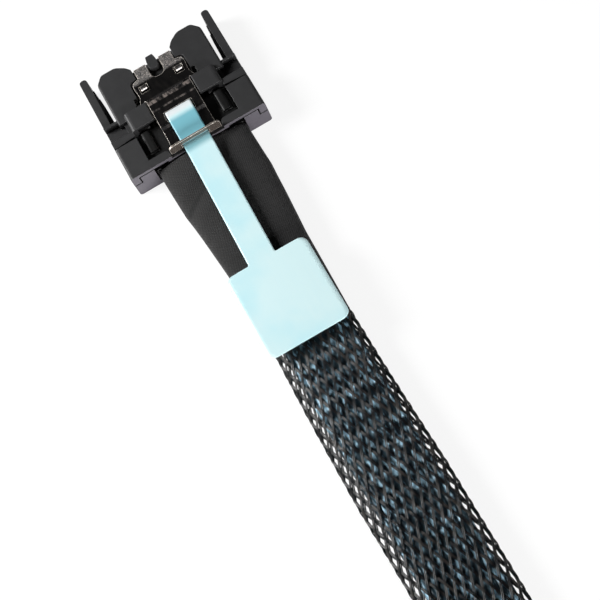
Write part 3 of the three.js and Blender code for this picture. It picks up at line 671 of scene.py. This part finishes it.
# %% [markdown]
# ## The braided sleeve
# The sleeve is a maypole braid: strands of two black filaments run round the ribbons at about 21
# degrees to the cable, half of them one way and half the other, each over one and under one. Strand
# number i starts at the share i/24 of the way round and drifts by the tangent of that angle, and it
# rises and falls with the cosine of its count of crossings, so that the two sets pass each other.
# Each filament is a thin tube of its own, because the gaps between them are see-through at the
# sleeve's margins. The hank, which is seen from further off, has fewer sides to a tube.

# %%
STRANDS = 24
BRAID_ANGLE = math.radians(21)
WEAVE = 0.15
FILAMENT = 0.13
FILAMENT_GAP = 2.1 * FILAMENT
OFFSETS = (np.arange(2) - 0.5) * FILAMENT_GAP
BRAID_HALF_HEIGHT = HALF_THICK - WEAVE - 1.2 * FILAMENT
BRAID_HALF_WIDTH = 9.1


def way_round():
    """Tables by share of the way round: place, outward direction, and the length all round."""
    x, z = rounded_section(BRAID_HALF_WIDTH, BRAID_HALF_HEIGHT, 2.9, 1440)
    x, z = np.append(x, x[0]), np.append(z, z[0])
    length = np.concatenate([[0], np.cumsum(np.hypot(np.diff(x), np.diff(z)))])
    share = np.linspace(0, 1, 721)
    xs, zs = (np.interp(share, length / length[-1], column) for column in (x, z))
    dx, dz = np.gradient(xs), np.gradient(zs)
    size = np.hypot(dx, dz)
    return share, xs / BRAID_HALF_WIDTH, zs, dz / size, -dx / size, length[-1]


SHARE, ROUND_X, ROUND_Z, OUT_X, OUT_Z, ROUND_LENGTH = way_round()
DRIFT = math.tan(BRAID_ANGLE) / ROUND_LENGTH


def strand_paths(direction, rows, offset):
    """One filament of every strand of one direction: x and z by strand and row, and the outward
    direction there. The offset is sideways within the strand."""
    number = np.arange(STRANDS)[:, None]
    travelled, wide, flat = (np.interp(rows, ROW_NUMBERS, table) for table in (s, width / 2, thick))
    phase = number / STRANDS + direction * DRIFT * travelled
    share = (phase + offset / math.cos(BRAID_ANGLE) / ROUND_LENGTH) % 1.0
    crossings = STRANDS * 2 * DRIFT * travelled
    height = direction * WEAVE * np.cos(math.pi * crossings)
    round_x, round_z, out_x, out_z = (
        np.interp(share, SHARE, table) for table in (ROUND_X, ROUND_Z, OUT_X, OUT_Z)
    )
    return round_x * wide + out_x * height, round_z * flat + out_z * height, out_x, out_z


def filament_mesh(name, direction, rows, sides, radius):
    """Round filaments as thin tubes along the strand paths."""
    pieces, faces, caps, count = [], [], [], 0
    angle = np.arange(sides) * (2 * math.pi / sides)
    quads = tube_quads(len(rows), sides)
    size = len(rows) * sides
    for offset in OFFSETS:
        x, z, out_x, out_z = strand_paths(direction, rows, offset)
        along = np.broadcast_to(rows, x.shape)
        centre = ring_points(along, x, z)
        outward = ring_points(along, x + out_x, z + out_z) - centre
        run = np.gradient(centre, axis=1)
        run /= np.linalg.norm(run, axis=-1, keepdims=True)
        beside = np.cross(run, outward)
        beside /= np.linalg.norm(beside, axis=-1, keepdims=True)
        up = np.cross(beside, run)
        ring = (
            centre[:, :, None, :]
            + radius * np.cos(angle)[:, None] * beside[:, :, None, :]
            - radius * np.sin(angle)[:, None] * up[:, :, None, :]
        )
        starts = count + np.arange(STRANDS) * size
        first = np.arange(sides)[::-1][None, :] + starts[:, None]
        last = (len(rows) - 1) * sides + np.arange(sides)[None, :] + starts[:, None]
        pieces.append(ring.reshape(-1, 3))
        faces.append((quads[None] + starts[:, None, None]).reshape(-1, 4))
        caps.append(np.concatenate([first, last]))
        count += STRANDS * size
    return mesh_of(name, np.concatenate(pieces), np.concatenate(faces), np.concatenate(caps))


black = Finish("braid_filament", (0.01, 0.01, 0.01), 0.3, Coat_Weight=0.6, Coat_Roughness=0.22)
sheen = black.noise(1.8, 2, (1, 2, 1))
black.color((0.003, 0.003, 0.004), ((0.045, 0.04, 0.037), sheen.between(0.5, 0.62)))
black.set("Roughness", sheen * 0.2 + 0.26)
black.relief(black.noise(0.4, 2), 0.02)

near_rows = np.arange(row_at(SLEEVE_START), row_at(-139.5), 1.0)
sleeve_end = len(s) - 1 - (FAR_WRAP_START - FAR_REAR) / ROW_LENGTH
hank_rows = np.arange(near_rows[-1], sleeve_end, 1.6)
for direction, word in ((1, "left"), (-1, "right")):
    for part, rows, sides, radius in (
        ("near", near_rows, 5, FILAMENT),
        ("hank", hank_rows, 3, FILAMENT * 1.15),
    ):
        name = f"{part}_braid_{word}"
        mesh = filament_mesh(name, direction, rows, sides, radius)
        placed(name, mesh, black.material, "cable_body")
        print(name, len(mesh.polygons), "faces")


# %% [markdown]
# ## Cloth tape
# Behind each plug the ribbons are wrapped in black woven tape, which holds them flat and relieves the
# solder joints. It is a plain weave, dark between the threads, and the tape's overlap makes a diagonal
# crease. The wrap is a flat tube with the crease as a soft groove, and the weave is two waves, one
# round the tube and one along it: where they differ most a thread lies on top.

# %%
THREAD_PITCH = 0.5
CREASE_PLACE = (-9.0, -20.9)


def cloth_mesh(name, stations, crease):
    """A flat wrapped tube through stations (row, width, half height)."""
    row, wide, high = (np.array(column, float) for column in zip(*stations))
    rows = np.linspace(row[0], row[-1], 90)
    x, z = rounded_section(1.0, 1.0, 3.4, 96)
    across_mm = (np.interp(rows, row, wide) / 2)[:, None] * x[None, :]
    up_mm = np.interp(rows, row, high)[:, None] * z[None, :]
    share = (rows - rows[0]) / (rows[-1] - rows[0])
    fold = crease(share[:, None], x[None, :])
    up_mm = up_mm + np.sign(up_mm) * np.where(z[None, :] > 0, fold, fold * 0.3)
    rings = ring_points(rows[:, None] * np.ones(len(x)), across_mm, up_mm)
    return spread_tube(tube_mesh(name, rings), rings)


def near_crease(share, x):
    """A groove that slants over the tape, with a low ridge beside it where the tape lies double."""
    gap = (share - 0.27 + 0.16 * (x + 1)) * 12
    return -0.45 * np.exp(-(gap**2) * 3) + 0.12 * np.exp(-((gap - 1.1) ** 2) * 2)


def far_crease(share, x):
    gap = (share - 0.5 + 0.2 * x) * 10
    return -0.2 * np.exp(-(gap**2) * 3)


cloth = Finish("cloth_tape", (0.02, 0.02, 0.021), 0.85, Sheen_Weight=0.1, Sheen_Roughness=0.5)
x, y, z = cloth.place()
u, v = cloth.spread()
threads = ((u + v * 0.12).wave(THREAD_PITCH) - v.wave(THREAD_PITCH)).size().between(0.1, 0.75)
soft = cloth.noise(5, 3)
# Threads on the left are painted lighter, a painted highlight where the left lamp falls. The soft noise
# gives random lighter threads, and shade is painted shade along the crease.
left = 1 - x.between(-3.0, 2.0)
from_crease = (y - CREASE_PLACE[1] - (x - CREASE_PLACE[0]) * 0.62).size()
shade = (1 - from_crease.between(0.2, 1.1)) * (1 - x.between(-2.0, 0.0))
cloth.color(
    (0.003, 0.003, 0.0033),
    ((0.026, 0.025, 0.025), threads),
    ((0.05, 0.048, 0.046), threads * (soft.between(0.45, 0.75) * 0.2 + left * 0.45)),
    ((0.004, 0.004, 0.004), shade * 0.8),
)
cloth.set("Roughness", threads * 0.15 + 0.8)
cloth.relief(threads + soft * 0.4, 0.06)

near_stations = [
    (row_at(-8.15), 21.3, 3.15),
    (row_at(-19.5), 21.1, 3.15),
    (row_at(-22.5), 20.5, 3.1),
    (row_at(-37.0), 18.3, 3.1),
    (row_at(-56.2), 17.5, 3.1),
]
near_mesh = cloth_mesh("near_cloth", near_stations, near_crease)
near_wrap = placed("near_cloth", near_mesh, cloth.material, "cable_body")
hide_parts("near_cloth_wrap")
last_row = len(s) - 1
far_stations = [
    (sleeve_end, 18.1, 3.05),
    ((sleeve_end + last_row) / 2, 19.3, 3.05),
    (last_row - 0.3, 20.5, 3.05),
]
far_mesh = cloth_mesh("far_cloth", far_stations, far_crease)
far_wrap = placed("far_cloth", far_mesh, cloth.material, "cable_body")
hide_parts("far_cloth_wrap")
print(near_wrap.name, far_wrap.name, len(near_mesh.polygons), "faces each")


# %% [markdown]
# ## The tie
# A hook-and-loop strap holds the three runs. It goes once round them and its free end lies over
# itself on top, as such a strap is closed. It is woven and fuzzy, with a hem along both sides. Its
# mesh is a flat section carried along the loop's line.

# %%
TIE_TOP = 20.1
TIE_CORNER = 1.6


def tie_line():
    """The strap's middle in x and z: over the top, down, under the cable, up, and back on top."""
    low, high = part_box("hank_tie")
    left, right_side = low.x / MM + 0.5, high.x / MM - 0.5
    bottom, top, corner = low.z / MM + 0.5, TIE_TOP, TIE_CORNER
    centres = [(left, bottom, 1, 1), (right_side, bottom, -1, 1), (right_side, top, -1, -1)]
    starts = [math.pi, 1.5 * math.pi, 0]
    points = [(right_side - 2.5, top + 1), (left + 2, top + 0.95), (left + 0.5, top), (left, top - 1.6)]
    for (x, z, x_way, z_way), start in zip(centres, starts):
        for angle in np.linspace(start, start + math.pi / 2, 8):
            along_x = x + corner * (x_way + math.cos(angle))
            points.append((along_x, z + corner * (z_way + math.sin(angle))))
    points.append((left + 4.5, top))
    return np.array(points)


def tie_mesh():
    path = tie_line()
    gaps = np.concatenate([[0], np.cumsum(np.hypot(*np.diff(path, axis=0).T))])
    even = np.linspace(0, gaps[-1], 160)
    px, pz = (np.interp(even, gaps, column) for column in path.T)
    dx, dz = np.gradient(px), np.gradient(pz)
    size = np.hypot(dx, dz)
    across_strap, through = rounded_section(TIE_HALF, 0.42, 9, 36)
    ring_x = px[:, None] + (dz / size)[:, None] * through[None, :]
    ring_z = pz[:, None] - (dx / size)[:, None] * through[None, :]
    ring_y = np.broadcast_to(TIE_MIDDLE + across_strap, ring_x.shape)
    return tube_mesh("hank_strap", np.stack([ring_x, ring_y, ring_z], -1))


fuzz = Finish("tie_fabric", (0.012, 0.012, 0.013), 0.95, Sheen_Weight=0.4)
pile = fuzz.noise(0.35, 4)
y = fuzz.place()[1]
hem = (y - TIE_MIDDLE).size().between(5.0, 5.3)
fuzz.color(
    (0.008, 0.008, 0.009),
    ((0.03, 0.03, 0.032), pile.between(0.4, 0.7) * (1 - hem)),
    ((0.02, 0.02, 0.021), hem),
)
fuzz.set("Roughness", pile * 0.1 + 0.85)
fuzz.relief(pile * (1 - hem) + y.wave(0.5) * hem * 0.4, 0.3)
tie = placed("hank_strap", tie_mesh(), fuzz.material, "cable_body")
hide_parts("hank_tie")
print(tie.name, len(tie.data.polygons), "faces")


# %% [markdown]
# ## The pull tab
# One piece of pale blue film, punched out flat. Its strap is tucked under the latch's tail, comes up
# through the slot, folds back over the ridge, passes through the window in the flange and runs flat to
# the broad handle. Film bends in even arcs, so the strap is one sheet along a rounded line. Light and
# shade are painted into its colour: a pale painted highlight over the fold, painted shade where the
# strap slopes down towards the flange, and a painted shadow behind the flange.

# %%
FILM_HALF = 0.24
FILM_LEVEL = 7.725
STRAP_HALF = 3.05
STRAP_DRIFT = 0.6
DRIFT_START = -9.7
FLAT_START = -12
FILLET = 0.5
HANDLE_HALF = 9.15
HANDLE_CORNER = 1.7
STRAP_CORNERS = [(-4.7, 6.275), (1.7, 6.275), (1.7, 8.625), (-1.4, 8.625), (-5.1, 7.725), (-10.7, 7.725)]
STRAP_RADII = [1.1, 1.1, 1.0, 1.0]


def rounded_line(corners, radii, arc_steps=8):
    """A polyline whose corners are replaced by curves that start a radius away from each."""
    corners = np.array(corners, float)
    points = [corners[0]]
    for before, here, after, r in zip(corners, corners[1:], corners[2:], radii):
        a = here + (before - here) / np.linalg.norm(before - here) * r
        b = here + (after - here) / np.linalg.norm(after - here) * r
        t = np.linspace(0, 1, arc_steps)[:, None]
        points.extend((1 - t) ** 2 * a + 2 * t * (1 - t) * here + t * t * b)
    points.append(corners[-1])
    return np.array(points)


def flat_outline(front, rear):
    """The flat film's y and half width: strap, fillet, the handle's front corner, its side and its
    rear corner."""
    quarter = np.linspace(0, math.pi / 2, 9)
    rising, falling = 1 - np.cos(quarter), 1 - np.sin(quarter)
    fillet_y = front + FILLET * falling
    front_y = front - HANDLE_CORNER * rising - 0.02
    rear_y = rear + HANDLE_CORNER * falling
    y = [np.linspace(FLAT_START, fillet_y[0], 12), fillet_y[1:], front_y]
    y += [np.linspace(front_y[-1] - 1, rear_y[0] + 1, 14), rear_y]
    half = [np.full(12, STRAP_HALF), STRAP_HALF + FILLET * rising[1:]]
    half += [HANDLE_HALF - HANDLE_CORNER * falling, np.full(14, HANDLE_HALF)]
    half += [HANDLE_HALF - HANDLE_CORNER * rising]
    return np.concatenate(y), np.concatenate(half)


def pull_tab(front, length):
    """The film's rings, for a handle that starts at front and has this length."""
    bent = rounded_line(STRAP_CORNERS, STRAP_RADII)
    flat_y, flat_half = flat_outline(front, front - length)
    y = np.concatenate([bent[:, 0], flat_y])
    z = np.concatenate([bent[:, 1], np.full(len(flat_y), FILM_LEVEL)])
    half = np.concatenate([np.full(len(bent), STRAP_HALF), flat_half])
    progress = np.clip((DRIFT_START - flat_y) / (DRIFT_START - front), 0, 1)
    lean = np.concatenate([np.zeros(len(bent)), -STRAP_DRIFT * progress * (flat_y > front)])
    keep = np.concatenate([[True], np.hypot(np.diff(y), np.diff(z)) > 1e-4])
    y, z, half, lean = y[keep], z[keep], half[keep], lean[keep]
    run = np.stack([np.gradient(y), np.gradient(z)], 1)
    run /= np.linalg.norm(run, axis=1)[:, None]
    t = np.linspace(-1, 1, 21)
    edge = np.array([[1.0, 0.45], [1.0, -0.45]])
    upper = np.stack([t, np.ones_like(t)], 1)
    lower = np.stack([t[::-1], -np.ones_like(t)], 1)
    section = np.concatenate([upper, edge, lower, -edge])
    inset = np.where(np.abs(section[:, 1]) > 0.9, 0.1, 0.0)
    offset = section[:, 1] * FILM_HALF
    xs = lean[:, None] + section[None, :, 0] * (half[:, None] - inset[None, :])
    ys = y[:, None] - run[:, 1:] * offset[None, :]
    zs = z[:, None] + run[:, :1] * offset[None, :]
    return np.stack([xs, ys, zs], -1)


film = Finish("pull_film", (0.55, 0.87, 0.95), 0.35, Coat_Weight=0.2, Coat_Roughness=0.15)
cloudy = film.noise(14, 3)
streak = film.noise(0.6, 2, (1, 12, 1))
along = plug_y(film.place()[1])
# The last three layers are painted light: a highlight on the fold, shade on the downward slope and the
# flange's shadow.
film.color(
    (0.62, 0.94, 1.0),
    ((0.75, 0.98, 1.0), cloudy.between(0.35, 0.65)),
    ((0.52, 0.88, 0.97), streak * 0.12),
    ((0.9, 0.95, 0.97), along.between(-0.9, 0.6) * 0.9),
    ((0.17, 0.5, 0.6), along.band(-6.9, -0.9, 0.7) * 0.9),
    ((0.12, 0.38, 0.44), along.band(-9.2, -6.9, 0.9) * 0.75),
)
film.set("Roughness", cloudy * 0.15 + 0.3)
film.relief(cloudy + streak * 0.05, 0.1)

near_film = tube_mesh("near_film", pull_tab(-39.6, 20.2))
near_tab = placed("near_film", near_film, film.material, "near_latch")
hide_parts("near_pull_tab")
half_turn = np.array([-1, -1, 1])
far_film = tube_mesh("far_film", pull_tab(-20.0, 12.0) * half_turn + FAR_PLUG)
far_tab = placed("far_film", far_film, film.material, "far_latch")
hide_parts("far_pull_tab")
print(near_tab.name, far_tab.name, len(near_film.polygons), "faces each")

# %% [markdown]
# ## The far plug's pieces
# The cable is a cord of half a metre between two plugs. The ribbons give its line, and the sleeve,
# the tapes and the tie move with it. The far plug's pieces are listed here.

far_parts = ["housing", "cover", "latch_spring", "circuit_card", "cable_grip"]
far_parts += ["upper_ribbon_end", "lower_ribbon_end"]
